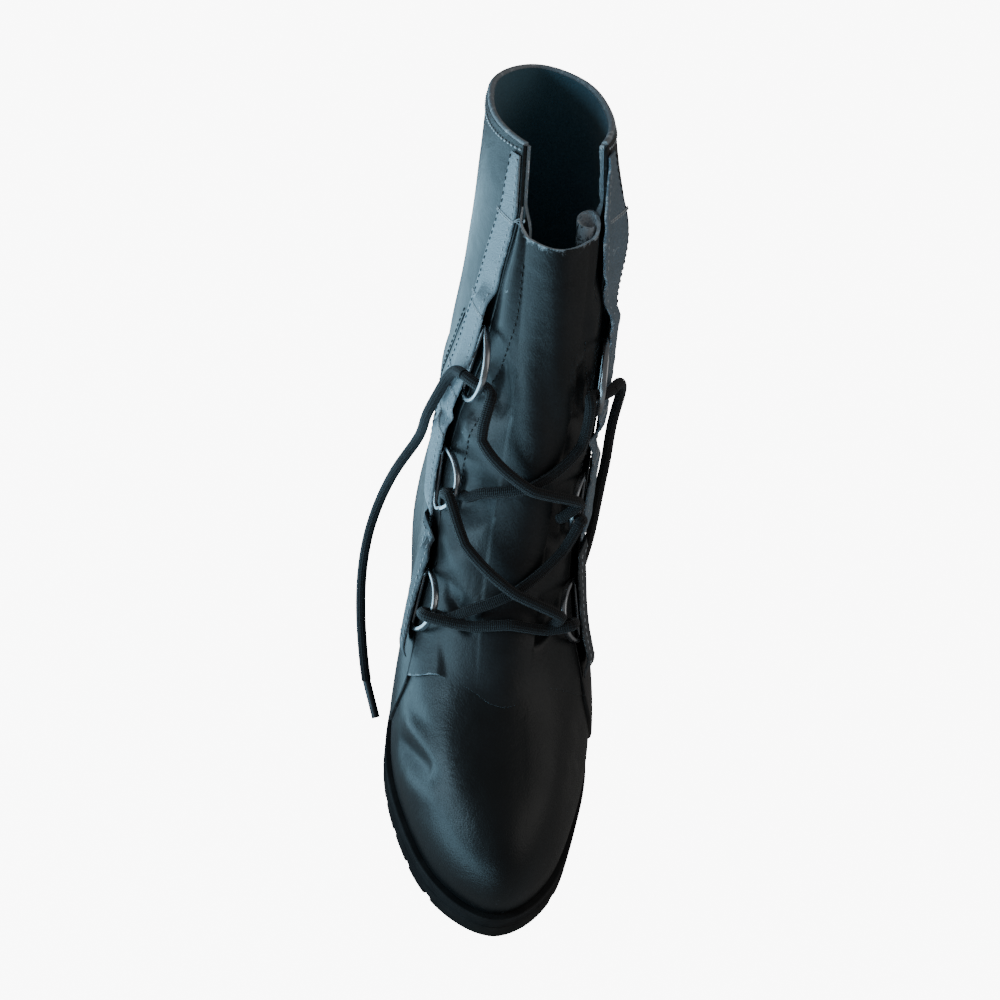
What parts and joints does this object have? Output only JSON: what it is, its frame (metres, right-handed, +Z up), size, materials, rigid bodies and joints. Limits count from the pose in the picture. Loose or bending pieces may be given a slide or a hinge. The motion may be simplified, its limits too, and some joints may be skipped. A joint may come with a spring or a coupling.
{
  "type": "wedge winter boot",
  "caption": "Left black leather lace-up winter boot with a bellows tongue, metal lace rings, round laces and a rubber wedge sole.",
  "frame": {"origin": "on the floor, under the middle of the sole's outline", "axes": "+Z up, -Y to the toe, +Y to the heel, -X to the inner side of the foot"},
  "size_m": [0.111, 0.2522, 0.2721],
  "materials": {
    "leather": "worn, semi-matt, softly grained",
    "rubber": "matt",
    "wedge_rubber": "matt",
    "lining": "brushed lining",
    "ring_metal": "polished gunmetal",
    "lace_cord": "braided, matt"
  },
  "bodies": {
    "root": {"outsole": "rubber", "wedge_midsole": "wedge_rubber", "insole": "lining", "upper": "leather", "tongue": "leather", "facing_medial": "leather", "tab_medial": "leather", "d_ring_medial_1": "ring_metal", "d_ring_medial_2": "ring_metal", "d_ring_medial_3": "ring_metal", "facing_lateral": "leather", "tab_lateral": "leather", "d_ring_lateral_1": "ring_metal", "d_ring_lateral_2": "ring_metal", "d_ring_lateral_3": "ring_metal", "lace_crossings": "lace_cord", "lace_end_medial": "lace_cord", "aglet_medial": "ring_metal", "lace_end_lateral": "lace_cord", "aglet_lateral": "ring_metal"}
  },
  "joints": []
}
